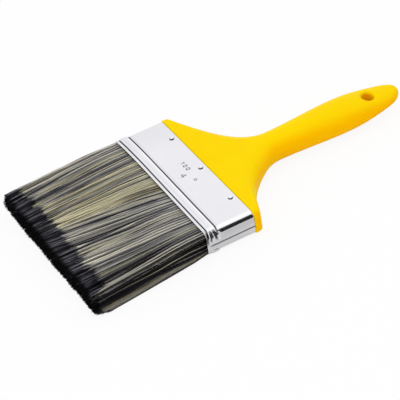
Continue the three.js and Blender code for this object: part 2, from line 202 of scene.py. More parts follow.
def filament_row(name, seed, count, span, at_mouth, at_tips, comb):
    """Part of a row of filaments, between two places across the bundle. Each starts at a place of its own
    in the row's section at the mouth, follows the combed run, and bends with its lock. `across` runs from
    -1 to 1 over the bundle and `through` from the row's inner face at 0 to its outer face at 1."""
    rng = np.random.default_rng(seed)
    across = span[0] + (np.arange(count) + rng.uniform(0, 1, count)) / count * (span[1] - span[0])
    through = (np.arange(count) * GOLDEN_STEP + rng.uniform(0, 0.3, count)) % 1
    home = across * HALF_WIDTH_AT_MOUTH
    near_edge = ease(np.abs(across), 0.93, 0.99)

    # Locks are narrow columns, a few layers deep, whose filaments gather towards the column's middle.
    layer = np.floor(through * LOCK_LAYERS).astype(int)
    in_columns = (home + 0.5 * wander(home, 2.3, rng)) / LOCK_WIDTH + 0.37 * layer
    columns = np.floor(in_columns).astype(int)
    from_top = LOCK_LAYERS - 1 - layer
    gathered = np.where(from_top == 0, 0.6, 0.35) * LOCK_WIDTH * (0.5 - in_columns % 1)
    lock = (columns - columns.min()) * LOCK_LAYERS + layer
    locks = lock.max() + 1

    # The dyed end is longer in some places than in others, and short on the narrow sides.
    dye = DYE_LENGTH + 1.6 * wander(home, 5.5, rng)
    dye += rng.normal(0, 0.9, locks)[lock] + rng.normal(0, 0.7, count)
    dye += 1.1 * ease(home, -40, -33) * (1 - ease(home, -2, 6)) - 1.4 * ease(home, 20, 30)
    dye -= 4.5 * near_edge
    dye += np.where(rng.uniform(0, 1, count) < 0.08, rng.uniform(2, 9, count), 0)
    dye = np.clip(dye, 3.0, 30)
    # The tips are trimmed a little rounded; the back row's outermost filaments splay out and fall short.
    level_share = np.abs(at_tips[0] + (at_tips[1] - at_tips[0]) * through) / 5.6
    length = FREE_LENGTH + 1.3 - 0.9 * level_share**3
    length += rng.normal(0, 0.3, count) + 0.35 * wander(home, 3, rng)
    length -= np.where(rng.uniform(0, 1, count) < 0.04, rng.uniform(0.5, 2.5, count), 0)
    is_back = at_mouth[0] < -2
    splayed = is_back * through * ease(np.abs(across), 0.90, 0.99)
    length += 0.2 * ease(across, -0.3, 0.3) + (-0.6 if is_back else 0.0) * ease(-across, 0.5, 1.0)
    length += 1.0 * ease(across, 0.8, 1.0) - np.where(across > 0, 9 * splayed**4, 8 * splayed**2)
    steps = np.linspace(0, 1, RINGS - 2) ** 0.9
    out = np.concatenate([
        -SET_IN + (length - dye + SET_IN)[:, None] * steps,
        (length - 0.45 * dye)[:, None], length[:, None],
    ], axis=1)
    along = np.clip(out / FREE_LENGTH, 0, 1.05)

    # Sideways: combed with the bundle, drifting and swaying with the lock.
    half_width = HALF_WIDTH_AT_MOUTH + (HALF_WIDTH_AT_TIPS - HALF_WIDTH_AT_MOUTH) * along
    drift = rng.normal(0, 1.0, locks)[lock] + rng.normal(0, 0.14, count)
    sway, phase = rng.normal(0, 0.18, locks)[lock], rng.uniform(0, 2 * np.pi, locks)[lock]
    rate = rng.uniform(3, 7, locks)[lock]
    run = np.zeros((count, RINGS))
    for ring in range(1, RINGS):
        place = (across * half_width[:, ring - 1] + run[:, ring - 1]) / half_width[:, ring - 1]
        run[:, ring] = run[:, ring - 1] + comb * combed(place) * (out[:, ring] - out[:, ring - 1])
    loose = (along**1.4 * drift[:, None] + along * (sway * np.sin(rate * along.T + phase)).T)
    x = across[:, None] * half_width + (run + loose) * (1 - 0.8 * near_edge)[:, None]
    x = np.clip(x, -half_width - 0.2, half_width + 0.2)
    x += 1.5 * along**3 * (ease(-across, 0.4, 1.0) + 0.2 * ease(across, 0.7, 1.0))[:, None]
    x += (1 - near_edge[:, None]) * gathered[:, None] * ease(out, 0, 10)
    x += (np.sign(across) * splayed)[:, None] * (4.0 * along**0.8 + 1.2 * ease(out, 0, 6))

    # Up and down: the rows close together, droop, and the front one swells as it leaves the ferrule.
    closing = ease(out, 0, ROWS_MEET)
    low, high = (
        mouth + (tips - mouth) * (closing if abs(mouth) < 5 else along)
        for mouth, tips in zip(at_mouth, at_tips)
    )
    mouth_drop = corner_drop(across * HALF_WIDTH_AT_MOUTH, HALF_WIDTH_AT_MOUTH, CORNER_AT_MOUTH)
    tips_drop = corner_drop(across * HALF_WIDTH_AT_TIPS, HALF_WIDTH_AT_TIPS, CORNER_AT_TIPS)
    drop = mouth_drop[:, None] * (1 - along) + tips_drop[:, None] * along
    level = low + (high - low) * through[:, None]
    level -= np.sign(at_mouth[0] + at_mouth[1]) * drop * through[:, None]
    rise, turns = rng.uniform(0.15, 0.4, locks)[lock], rng.uniform(5, 14, locks)[lock]
    level += (rise * np.sin(turns * along.T + phase * 3)).T * ease(out, 0, 12)
    level += along**1.3 * rng.normal(0, 0.12, count)[:, None] - DROOP * along**1.6
    level += 0.42 * np.sin(np.pi * np.clip(along * 2.4, 0, 1)) * (through * (not is_back))[:, None]

    # Every filament is a tube with three sides that narrows towards its tip.
    radius = np.interp(np.arange(RINGS), [0, RINGS - 3, RINGS - 1], [ROOT_RADIUS, DYE_RADIUS, TIP_RADIUS])
    radius = radius * rng.uniform(0.85, 1.15, count)[:, None]
    turn = rng.uniform(0, 2 * np.pi, count)[:, None, None] + 2 * np.pi / 3 * np.arange(3)
    points = np.stack([
        x[:, :, None] + radius[:, :, None] * np.cos(turn),
        np.broadcast_to((MOUTH - out)[:, :, None], (*out.shape, 3)),
        MIDDLE + level[:, :, None] + radius[:, :, None] * np.sin(turn),
    ], axis=-1)

    corners = 3 * RINGS
    first = (np.arange(count) * corners)[:, None, None]
    ring = (np.arange(RINGS - 1) * 3)[None, :, None]
    side = np.arange(3)[None, None, :]
    here, there = first + ring + side, first + ring + (side + 1) % 3
    walls = np.stack([here, there, there + 3, here + 3], axis=-1).reshape(-1, 4)
    butts = (np.arange(count) * corners)[:, None] + np.array([2, 1, 0])
    tips = (np.arange(count) * corners)[:, None] + corners - 3 + np.array([0, 1, 2])
    faces = walls.tolist() + butts.tolist() + tips.tolist()
    piece = mesh_piece(name, points.reshape(-1, 3), faces, filament_finish)

    # Each lock has a tone of its own. Every other column is paler, deeper layers get painted shade, and a
    # zone left of the middle is mostly tan. The narrow sides get painted shade, apart from a few painted lit
    # lines, and more tan filaments in painted light low on the flank; splayed filaments get painted light.
    # Filaments off the flank darken towards +X.
    zone = ease(home, -31, -23) * (1 - ease(home, 4, 12))
    zone_tone = 0.04 * zone + 0.10 * wander(home, 5.1, rng) - 0.07 * ease(home, 33, 43)
    tone = 0.555 + zone_tone + rng.normal(0, 0.15, locks)[lock] + rng.normal(0, 0.14, count)
    tone += np.where(columns % 2 == 0, 0.23, -0.23) * (1 - 0.5 * (from_top > 0))
    tone += np.where(rng.uniform(0, 1, count) < 0.04, 0.35, 0) + LAYER_PAINTED_SHADE[from_top]
    depth = low[:, 0] + (high - low)[:, 0] * through
    seen_first = ease(across, -0.5, 0.5)
    flank = near_edge * (1 - ease(depth, 5.4 * seen_first, 2.0 + 4.4 * seen_first))
    in_shade = flank * ease(depth, -4.7, -3.1)
    lit_line = (depth * 0.55 + 0.3 * wander(home, 3, rng)) % 1 < 0.16
    tone -= 0.20 * ease(across, 0.84, 0.94) * (1 - flank)
    tone += np.where(lit_line, 0.12 * flank, 0.35 * splayed - 0.20 * flank - 0.48 * in_shade)
    tan_draw = rng.uniform(0, 1, locks)[lock]
    tan = tan_draw < 0.26 + 0.44 * zone + 0.28 * wander(home, 7, rng) + 0.6 * flank * (1 - in_shade)
    share_up = np.append(steps * DYE_STARTS, [0.5 + DYE_STARTS / 2, 1.0])
    streaks = 0.14 * bells(home, PALE_STREAKS, STREAK_WIDTH) - 0.25 * bells(home, DARK_STREAKS, STREAK_WIDTH)
    streaks *= 1 - near_edge
    past_mouth = streaks[:, None] * ease(share_up, 0.05, 0.50)
    # Near the mouth this painted shading eases: the flank is less dark and splayed filaments lose their
    # painted light.
    mouth_end_painted_shading = (0.22 * flank - 0.35 * splayed)[:, None] * (1 - ease(share_up, 0.28, 0.50))
    in_dye = share_up > DYE_STARTS
    even_dye = in_dye * (0.09 + 0.06 * ease(np.abs(home), 20, 45) - zone_tone - streaks)[:, None]
    tone = np.clip(tone[:, None] + past_mouth + mouth_end_painted_shading + even_dye, 0.02, 0.99)

    # The map's first half holds grey tones and its second half tan ones, each from dark to light; the
    # length runs up it, with the start of the dye always at DYE_STARTS.
    place_in_map = 0.025 + 0.45 * tone + 0.5 * tan[:, None]
    # The three walls of a filament share a strip of the map this wide.
    wide = 0.006
    left = place_in_map[:, :, None] + wide * (np.arange(3) / 3 - 0.5)[None, None, :]
    low_u, high_u = left[:, :-1], left[:, 1:]
    low_v, high_v = share_up[:-1][None, :, None], share_up[1:][None, :, None]
    corners_map = [(low_u, low_v), (low_u + wide / 3, low_v), (high_u + wide / 3, high_v), (high_u, high_v)]
    shape = (count, RINGS - 1, 3)
    wall_map = np.stack([
        np.stack([np.broadcast_to(u, shape), np.broadcast_to(v, shape)], -1) for u, v in corners_map
    ], 3)
    spread = wide * (np.arange(3) / 3 - 0.5)
    end_map = [
        np.stack([place_in_map[:, ring, None] + spread, np.full((count, 3), v) + np.array([0, step, 0])], -1)
        for ring, v, step in ((0, 0.004, -0.003), (-1, 0.996, 0.003))
    ]
    loops = np.concatenate([wall_map.reshape(-1), end_map[0].reshape(-1), end_map[1].reshape(-1)])
    piece.data.uv_layers.new(name="OFBake").data.foreach_set("uv", loops.astype(np.float32))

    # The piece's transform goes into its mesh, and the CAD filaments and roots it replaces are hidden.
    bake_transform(piece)
    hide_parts(f"{name.split('_')[0]}_filament_roots", f"{name.split('_')[0]}_filaments")


for seed, side, span in ((11, "left", (-1, 0)), (12, "right", (0, 1))):
    filament_row(f"front_row_{side}", seed, 3500, span, (3.2, 6.5), (1.6, 5.6), 1.0)
    filament_row(f"middle_row_{side}", seed + 10, 2000, span, (-1.0, 1.0), (-1.6, 1.6), 0.6)
    filament_row(f"back_row_{side}", seed + 20, 3500, span, (-3.2, -6.5), (-1.6, -5.6), -0.4)


# ---- Resin setting and spacer strips --------------------------------------------------------
# The filament butts stand in a block of set resin, cloudy amber with small bubbles. Two strips of soft
# wood, cut along the grain, keep the three rows apart inside the ferrule. Their CAD shapes stay.
def object_noise(nodes, links, scale, detail, stretch=(1, 1, 1)):
    """Noise over the piece's own coordinates in metres, drawn out along an axis where stretch is small."""
    place = nodes.new("ShaderNodeTexCoord")
    spread = nodes.new("ShaderNodeMapping")
    spread.inputs["Scale"].default_value = stretch
    noise = nodes.new("ShaderNodeTexNoise")
    noise.inputs["Scale"].default_value = scale
    noise.inputs["Detail"].default_value = detail
    links.new(place.outputs["Object"], spread.inputs["Vector"])
    links.new(spread.outputs["Vector"], noise.inputs["Vector"])
    return noise.outputs["Fac"]


def bumps(nodes, links, shader, height, depth):
    """Small relief on the surface from a height socket; depth is in metres."""
    bump = nodes.new("ShaderNodeBump")
    bump.inputs["Strength"].default_value = 1.0
    bump.inputs["Distance"].default_value = depth
    links.new(height, bump.inputs["Height"])
    links.new(bump.outputs["Normal"], shader.inputs["Normal"])


def noisy_colour(nodes, links, shader, fac, dark, light):
    """Base colour that runs from dark to light with fac."""
    ramp = ramp_node(nodes, [(0.3, dark), (0.7, light)])
    links.new(fac, ramp.inputs[0])
    links.new(ramp.outputs[0], shader.inputs["Base Color"])


def noisy_roughness(nodes, links, shader, fac, smooth, rough):
    """Roughness that runs from smooth to rough with fac."""
    ramp = ramp_node(nodes, [(0.3, smooth), (0.7, rough)])
    links.new(fac, ramp.inputs[0])
    links.new(ramp.outputs[0], shader.inputs["Roughness"])


def set_finish(node_name, finish):
    """Gives a CAD node a finish."""
    for material_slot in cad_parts[node_name].material_slots:
        material_slot.material = finish


resin_finish, nodes, links, shader = new_finish("setting_resin", Specular_IOR_Level=0.5)
cloud = object_noise(nodes, links, 260, 4)
noisy_colour(nodes, links, shader, cloud, (0.20, 0.115, 0.045), (0.42, 0.27, 0.13))
noisy_roughness(nodes, links, shader, cloud, 0.3, 0.5)
bumps(nodes, links, shader, object_noise(nodes, links, 900, 2), 0.0002)
set_finish("resin_setting", resin_finish)

strip_finish, nodes, links, shader = new_finish("strip_wood", Specular_IOR_Level=0.3)
grain = object_noise(nodes, links, 420, 5, (0.05, 1, 1))
noisy_colour(nodes, links, shader, grain, (0.36, 0.22, 0.10), (0.62, 0.44, 0.25))
noisy_roughness(nodes, links, shader, grain, 0.6, 0.85)
bumps(nodes, links, shader, grain, 0.00015)
for node_name in ("front_spacer_strip", "back_spacer_strip"):
    set_finish(node_name, strip_finish)


# ---- Ferrule --------------------------------------------------------------------------------
# One sheet of plated steel, wrapped round the setting and lapped on a narrow side. It is rolled into a
# lip, a flat bead and two fine grooves near the mouth, pulled in at the nails, and stamped with its size
# in plain numbers. The rolled lines end in pinched folds on the narrow sides.
HALF_WIDTH, HALF_THICKNESS = 50.0, 7.25
LENGTH = ferrule_high[1] - ferrule_low[1]
WALL = 0.5
SEAM_LEVEL = -1.15
BEND_RADIUS, BEND_LEFT, CREASE_RADIUS = 4.2, np.radians(18), 0.5
nail_places = [
    [(low + high) / 2 / METRE for low, high in zip(*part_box(f"{face}_nail_{number}"))]
    for face in ("front", "back") for number in (1, 2, 3)
]


def closer_where(start, end, count, spots):
    """Places from start to end, closer together in the spots, each given as (from, to, how much closer)."""
    fine = np.linspace(start, end, 6001)
    crowd = np.ones_like(fine)
    for low, high, more in spots:
        crowd += more * ((fine > low) & (fine < high))
    total = np.concatenate([[0], np.cumsum((crowd[1:] + crowd[:-1]) / 2)])
    return np.interp(np.linspace(0, total[-1], count), total, fine)


def ferrule_section():
    """Points and outward directions round the section: front face, bend, narrow side with the lap, bend,
    back face, bend, plain narrow side, bend. A bend is a wide arc that ends in a tight crease."""
    nails = [(x - 3.4, x + 3.4, 4) for x, _, _ in nail_places[:3]]
    flat = HALF_WIDTH - BEND_RADIUS * np.cos(BEND_LEFT) - CREASE_RADIUS * (1 - np.cos(BEND_LEFT))
    angle = np.concatenate([
        np.linspace(np.pi / 2, BEND_LEFT, 17)[1:], np.linspace(BEND_LEFT, 0, 5)[1:],
    ])
    wide = np.arange(len(angle)) < 16
    radius = np.where(wide, BEND_RADIUS, CREASE_RADIUS)
    centre_x = np.where(wide, flat, HALF_WIDTH - CREASE_RADIUS)
    centre_rise = (BEND_RADIUS - CREASE_RADIUS) * np.sin(BEND_LEFT)
    centre_z = HALF_THICKNESS - BEND_RADIUS + np.where(wide, 0, centre_rise)
    bend = np.stack([centre_x + radius * np.cos(angle), centre_z + radius * np.sin(angle)], 1)
    bend_out = np.stack([np.cos(angle), np.sin(angle)], 1)
    side_top = bend[-1, 1]

    def level(x, z, out):
        """Points of a flat that lies level at z, with their outward directions up or down."""
        return np.stack([x, np.full_like(x, z)], 1), np.tile([0.0, out], (len(x), 1))

    def upright(x, z, out):
        """Points of a flat that stands upright at x, with their outward directions to one side."""
        return np.stack([np.full_like(z, x), z], 1), np.tile([out, 0.0], (len(z), 1))

    front_x = closer_where(-flat, flat, 290, nails + [(-11.2, 8.8, 7)])
    back_x = closer_where(-flat, flat, 90, nails)
    lap_z = closer_where(-side_top, side_top, 46, [(-1.7, -0.4, 10)])[::-1][1:-1]
    plain_z = np.linspace(-side_top, side_top, 20)[1:-1]
    flip_z, flip_x = np.array([1, -1]), np.array([-1, 1])
    parts = [
        level(front_x, HALF_THICKNESS, 1.0), (bend, bend_out), upright(HALF_WIDTH, lap_z, 1.0),
        (bend[::-1] * flip_z, bend_out[::-1] * flip_z), level(back_x[::-1], -HALF_THICKNESS, -1.0),
        (-bend, -bend_out), upright(-HALF_WIDTH, plain_z, -1.0),
        (bend[::-1] * flip_x, bend_out[::-1] * flip_x),
    ]
    return np.concatenate([p for p, _ in parts]), np.concatenate([n for _, n in parts])


def rolled_rise(v):
    """How far the rolled lines stand out of the sheet, v millimetres from the mouth: lip, groove, bead,
    groove and a last faint step, as a line through their corners with the corners rounded off."""
    fine = np.arange(-1, 29, 0.01)
    sharp = np.interp(
        fine,
        [0.2, 0.45, 1.15, 1.38, 1.72, 2.0, 3.1, 3.35, 3.6, 5.3, 6.4, 6.70, 7.12, 8.0, 8.2, 8.4],
        [0.36, 0.40, 0.26, -0.18, 0.24, 0.44, 0.68, 0.64, 0.70, 0.70, 0.46, -0.40, 0.0, 0.0, -0.06, 0.0],
    )
    window = np.hanning(19)
    return np.interp(v, fine, np.convolve(sharp, window / window.sum(), mode="same"))


def stroke_depth(x, y, strokes, half_stroke):
    """1 within a stamped stroke and 0 outside it, with sloped edges; a stroke is a line (x, y, x, y) or a
    ring (x, y, half width, half height)."""
    nearest = np.full(x.shape, 9.0)
    for kind, a, b, c, d in strokes:
        if kind == "line":
            share = np.clip(((x - a) * (c - a) + (y - b) * (d - b)) / ((c - a) ** 2 + (d - b) ** 2), 0, 1)
            gap = np.hypot(x - a - share * (c - a), y - b - share * (d - b))
        else:
            gap = np.abs(np.hypot((x - a) / c, (y - b) / d) - 1) * min(c, d)
        nearest = np.minimum(nearest, gap)
    return 1 - ease(nearest, half_stroke * 0.5, half_stroke * 1.5)


SIZE_MARK = [
    ("line", -8.9, 17.6, -8.9, 19.8), ("line", -8.9, 19.8, -9.5, 19.2),
    ("ring", -6.2, 18.7, 0.75, 1.05), ("ring", -3.1, 18.7, 0.75, 1.05),
    ("line", 0.9, 12.4, 0.9, 15.4), ("line", 0.9, 15.4, -0.9, 13.4), ("line", -0.9, 13.4, 1.6, 13.4),
    ("ring", 7.2, 17.4, 0.7, 0.7),
]

# The profile runs from inside the sheet round the lip at the mouth, along the outside, and back in at the
# handle. It is carried round the section.
section, section_out = ferrule_section()
lip_turn = np.linspace(-np.pi / 2, np.pi / 2, 7)
inner_v = np.array([LENGTH - 0.15, LENGTH - 1, 20, 12, 5, 1.2])
outer_v = closer_where(
    0.45, LENGTH - 0.12, 170, [(0.9, 2.1, 8), (6.2, 7.3, 8), (2, 8.5, 2), (12, 21, 3), (22, 27, 1.5)],
)
profile_v = np.concatenate([inner_v, 0.4 - 0.65 * np.cos(lip_turn), outer_v, [LENGTH, LENGTH - 0.04]])
lip_out = -0.1 + 0.4 * np.sin(lip_turn)
profile_out = np.concatenate([np.full(6, -WALL), lip_out, rolled_rise(outer_v), [-0.12, -WALL + 0.06]])
is_outer = np.concatenate([np.zeros(6 + 3), np.full(4, 0.5), np.ones(len(outer_v)), np.zeros(2)])

v = np.broadcast_to(profile_v[None, :], (len(section), len(profile_v)))
x, z = (np.broadcast_to(section[:, axis, None], v.shape) for axis in (0, 1))
on_side = np.abs(section_out[:, 0, None])

# The rolled lines fade out on the narrow sides, in folds that fan out from the mouth's corner.
rolled = np.broadcast_to(profile_out[None, :], v.shape)
fades = ease(z, 1.6, 4.2) + ease(-z, 3.8, 4.9)
fan = np.arctan2(v - 3.6, 12 - z)
fold_wave = np.sin(fan * 21 + 0.8) + 0.3 * np.sin(fan * 37 + z)
fold_reach = on_side**2 * ease(z, -0.6, 2.2) * (1 - ease(z, 4.6, 6.2))
fold_reach = fold_reach * (1 - ease(v, 6.6, 8.6)) * ease(v, 0.1, 0.9)
folds = 0.45 * fold_wave * fold_reach
flat_side = np.where(profile_v < 0.8, profile_out, 0.0)[None, :]
relief = np.where(is_outer[None, :] > 0, flat_side + (rolled - flat_side) * np.clip(fades, 0, 1), rolled)

# The sheet is drawn in round each nail and has one shallow dent and the stamped size mark.
for place_x, place_y, place_z in nail_places:
    face = np.sign(place_z - MIDDLE)
    reach = np.hypot(x - place_x, v - (place_y - MOUTH))
    same_face = (section_out[:, 1, None] * face) > 0.9
    relief = relief - is_outer * same_face * 0.10 * (1 - ease(reach, 0.9, 2.0))
dent = np.hypot((x - 29.6) / 1.5, (v - 24.6) / 1.2)
front = section_out[:, 1, None] > 0.9
relief = relief - is_outer * front * 0.12 * np.exp(-(dent**2))
stamped = front * stroke_depth(x, v, SIZE_MARK, 0.19)
relief = relief - is_outer * 0.04 * stamped

# The lap is a low step with a fine groove along it, and the whole sheet is very slightly wavy.
lap_side = section_out[:, 0, None] > 0.3
lap = 0.16 * ease(z, SEAM_LEVEL + 0.1, SEAM_LEVEL + 0.3) * (1 - ease(z, 1.0, 3.2))
lap = lap - 0.42 * np.exp(-(((z - SEAM_LEVEL) / 0.22) ** 2))
relief = relief + is_outer * lap_side * lap * ease(v, 1.0, 2.0)
relief = relief + is_outer * (
    0.020 * np.sin(x / 7.1 + 0.6) * np.sin(v / 5.2) + 0.012 * np.sin(x / 3.3 + v / 4.1 + 2)
)
relief = relief + (folds * (is_outer > 0))

# The rolls run a little bowed across the brush, most at the mouth.
bow = 0.32 * np.exp(-(((x + 25) / 20) ** 2)) - 0.32 * ease(x, -5, 50) - 0.3 * (1 - ease(x, -50, -38)) - 0.12
points = np.stack([
    x + section_out[:, 0, None] * relief,
    MOUTH + v + bow * (1 - ease(v, 4, 14)),
    MIDDLE + z + section_out[:, 1, None] * relief,
], axis=-1)


def ring_grid(stations, places):
    """Quads over a grid of stations by places that closes on itself both ways."""
    here = np.arange(stations)[:, None] * places + np.arange(places)[None, :]
    next_place = np.roll(here, -1, axis=1)
    beyond, beyond_next = np.roll(here, -1, axis=0), np.roll(next_place, -1, axis=0)
    return np.stack([here, beyond, beyond_next, next_place], -1).reshape(-1, 4)


# Painted shade and painted dark reflections on the ferrule: dark lines in the rolled grooves, the stamped
# strokes and the lap seam, darker narrow sides, a darker far end of the front face, the black band through
# the folds on the bends, rings round the nail heads and shade under the lip on the narrow sides; the mesh
# carries it as "painted_shade".
grooves = np.exp(-(((v - 1.45) / 0.44) ** 4)) + np.exp(-(((v - 6.78) / 0.56) ** 4))
grooves = grooves + 0.12 * (np.exp(-(((v - 3.35) / 0.25) ** 2)) + np.exp(-(((v - 8.2) / 0.3) ** 2)))
grooves = grooves * ease(np.abs(section_out[:, 1, None]), 0.8, 0.98)
seam = lap_side * np.exp(-(((z - SEAM_LEVEL) / 0.60) ** 2)) * ease(v, 1.6, 2.8)
# Painted shade: the narrow sides darker, most above the seam and less in the folds, and a painted darker
# reflection towards the front face's far (-X) end.
painted_side_shade = on_side**4 * (0.20 + 0.16 * ease(z, -1.0, 2.5)) * (1 - 0.9 * fold_reach)
painted_far_end_shade = 0.05 * front * ease(-x, 18, 46)
# Painted black band: a dark reflection along the bends near the mouth, broken by the crests of the folds.
bend_reach = on_side**0.5 * ease(z, 0.2, 2.4) * (1 - ease(z, 6.4, 7.1))
bend_reach = bend_reach * (1 - ease(v, 6.2, 7.6)) * ease(v, 0.1, 0.9)
painted_black_band = bend_reach * ease(1.35 * ease(z, 3.0, 4.8) - fold_wave, 0.2, 0.8)
# Painted shade in a thin ring round each nail head.
rings = sum(
    0.55 * ((section_out[:, 1, None] * (place_z - MIDDLE)) > 0.9)
    * np.exp(-(((np.hypot(x - place_x, v - (place_y - MOUTH)) - 1.2) / 0.22) ** 2))
    for place_x, place_y, place_z in nail_places
)
lip_shade = 0.7 * on_side * ease(z, -1.5, 3.0) * (1 - ease(v, 0.7, 1.5)) * (is_outer > 0)
marks = 0.98 * grooves + stamped + 0.50 * seam + painted_side_shade + rings + 0.93 * painted_black_band + painted_far_end_shade
painted_shade = np.clip(is_outer * marks + lip_shade, 0, 1)

ferrule_finish, nodes, links, shader = new_finish("ferrule_steel", Metallic=1.0)
smear = object_noise(nodes, links, 55, 3)
rolling = object_noise(nodes, links, 1400, 3, (0.03, 1, 1))
clean = ramp_node(nodes, [(0.3, (0.83, 0.83, 0.855)), (0.7, (0.86, 0.86, 0.88))])
links.new(smear, clean.inputs[0])
# Where painted shade is set, the steel runs to near black.
painted_shade_value = nodes.new("ShaderNodeAttribute")
painted_shade_value.attribute_name = "painted_shade"
with_painted_shade = mix_node(nodes, links, painted_shade_value.outputs["Fac"], clean.outputs[0], (0.015, 0.015, 0.017, 1))
links.new(with_painted_shade, shader.inputs["Base Color"])
noisy_roughness(nodes, links, shader, rolling, 0.10, 0.17)
bumps(nodes, links, shader, rolling, 0.000004)

ferrule = mesh_piece("ferrule_sheet", points.reshape(-1, 3), ring_grid(*v.shape).tolist(), ferrule_finish)
carried = ferrule.data.attributes.new("painted_shade", "FLOAT", "POINT")
carried.data.foreach_set("value", painted_shade.ravel().astype(np.float32))
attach(ferrule, "handle_and_ferrule")
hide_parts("ferrule")


# ---- Nails ----------------------------------------------------------------------------------
# Six small steel nails with nearly flat heads hold the ferrule on the handle's tenon, three through each
# face. They are driven by machine, so their heads lie a little differently in the sheet.
HEAD_RADIUS, HEAD_HEIGHT, RIM_RADIUS = 1.2, 0.74, 0.20
SHANK_RADIUS, SHANK_LENGTH = 0.7, 4.4
NAIL_SIDES = 32

nail_finish, nodes, links, shader = new_finish("nail_steel", Metallic=1.0)
wear = object_noise(nodes, links, 900, 3)
bright = ramp_node(nodes, [(0.3, (0.80, 0.80, 0.83)), (0.7, (0.92, 0.92, 0.94))])
links.new(wear, bright.inputs[0])
painted_shade_value = nodes.new("ShaderNodeAttribute")
painted_shade_value.attribute_name = "painted_shade"
with_painted_shade = mix_node(nodes, links, painted_shade_value.outputs["Fac"], bright.outputs[0], (0.015, 0.015, 0.017, 1))
links.new(with_painted_shade, shader.inputs["Base Color"])
noisy_roughness(nodes, links, shader, wear, 0.14, 0.26)
bumps(nodes, links, shader, wear, 0.00001)


def turned_grid(rings, around):
    """Faces of a turned shape with a point at each end: rings of quads between two fans."""
    first = 1 + np.arange(rings - 1)[:, None] * around + np.arange(around)[None, :]
    second = 1 + np.arange(rings - 1)[:, None] * around + (np.arange(around)[None, :] + 1) % around
    quads = np.stack([first, second, second + around, first + around], -1).reshape(-1, 4)
    rim = np.arange(around)
    last = 1 + (rings - 1) * around
    top = np.stack([np.zeros(around, int), 1 + (rim + 1) % around, 1 + rim], 1)
    foot = np.stack([np.full(around, last + around), last + rim, last + (rim + 1) % around], 1)
    return quads.tolist() + top.tolist() + foot.tolist()


def nail(name, place, lean):
    """A nail turned about its axis: a nearly flat head with a rounded rim, a shank and a point."""
    quarter = np.linspace(0, np.pi / 2, 7)
    radius = np.concatenate([
        [0.25, 0.55], HEAD_RADIUS - RIM_RADIUS + RIM_RADIUS * np.sin(quarter),
        [HEAD_RADIUS * 0.98, SHANK_RADIUS, SHANK_RADIUS, 0.25],
    ])
    height = np.concatenate([
        [HEAD_HEIGHT - 0.01, HEAD_HEIGHT - 0.03], HEAD_HEIGHT - 0.05 - RIM_RADIUS * (1 - np.cos(quarter)),
        [-0.12, -0.2, -SHANK_LENGTH + 1.2, -SHANK_LENGTH + 0.1],
    ])
    turn = -np.linspace(0, 2 * np.pi, NAIL_SIDES + 1)[:-1]
    rings = np.stack([
        radius[:, None] * np.cos(turn), radius[:, None] * np.sin(turn),
        np.broadcast_to(height[:, None], (len(height), NAIL_SIDES)),
    ], -1).reshape(-1, 3)
    shape = np.concatenate([[[0, 0, HEAD_HEIGHT]], rings, [[0, 0, -SHANK_LENGTH]]])
    shape[:, 2] += shape[:, 0] * lean[0] + shape[:, 1] * lean[1]
    face = np.sign(place[2] - MIDDLE)
    sheet = MIDDLE + face * (HALF_THICKNESS - 0.17)
    points = np.stack([place[0] + shape[:, 0], place[1] + shape[:, 1] * face, sheet + shape[:, 2] * face], 1)
    piece = mesh_piece(name, points, turned_grid(len(radius), NAIL_SIDES), nail_finish)
    # Painted shade: the head's rim and the shank are dark, and only the head's top keeps the steel's colour.
    painted_shade = 0.88 * (shape[:, 2] < HEAD_HEIGHT - 0.15)
    piece.data.attributes.new("painted_shade", "FLOAT", "POINT").data.foreach_set("value", painted_shade.astype(np.float32))
    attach(piece, "handle_and_ferrule")
    return piece


rng = np.random.default_rng(31)
for index, place in enumerate(nail_places):
    face, number = ("front", "back")[index // 3], index % 3 + 1
    piece = nail(f"{face}_nail_head_{number}", place, rng.uniform(-0.07, 0.07, 2))
    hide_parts(f"{face}_nail_{number}")


# ---- Handle ---------------------------------------------------------------------------------
# One moulding of glossy yellow plastic: a tenon inside the ferrule, a shoulder as wide as the ferrule
# that sweeps down to a slim neck, a belly for the hand, and a flattened end with a hang hole whose rim
# is rounded over. A fine parting line runs round its edge.
handle_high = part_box("handle")[1].y / METRE
START = ferrule_high[1] + 0.3
REACH = handle_high - START
HOLE_FROM_END, HOLE_ASIDE = 19.0, 1.0
HOLE_RADIUS, HOLE_ROUNDING = 3.4, 1.8
BORE_SIDES = 96
SHOULDER_CORNER = 3.2
TENON_HALF_WIDTH, TENON_HALF_THICKNESS, TENON_CORNER = 48.95, 6.2, 2.1


def soft_least(first, second, blend):
    """The smaller of two numbers, rounded off where they cross."""
    share = np.clip(blend - np.abs(first - second), 0, None) / blend
    return np.minimum(first, second) - share**2 * blend / 4


def end_rounding(u, size):
    """1 along the handle, falling to 0 over its last `size`, as a squarish ellipse does."""
    return np.sqrt(np.clip(1 - np.clip((u - (REACH - size)) / size, 0, 1) ** 2.4, 0, 1))


def handle_half_width(u):
    """Sweep from the shoulder to the neck, swell to the belly, and taper to the end."""
    sweep = 9.15 + 41.25 * np.clip(1 - (u - 3.5) / 36.5, 0, None) ** 1.95
    swell = 2.55 * ease(u, 40, 81) - 6.45 * (np.clip(u - 81, 0, None) / 37) ** 2.4
    return (soft_least(50.4, sweep, 1.5) + swell) * end_rounding(u, 9)


def handle_half_thickness(u):
    """Thinner at the neck, thicker at the belly, thin again at the end."""
    thickness = 7.65 - 0.15 * ease(u, 0, 40) + 0.25 * ease(u, 40, 81) - 4.05 * ease(u, 81, REACH)
    return thickness * end_rounding(u, 4.5)


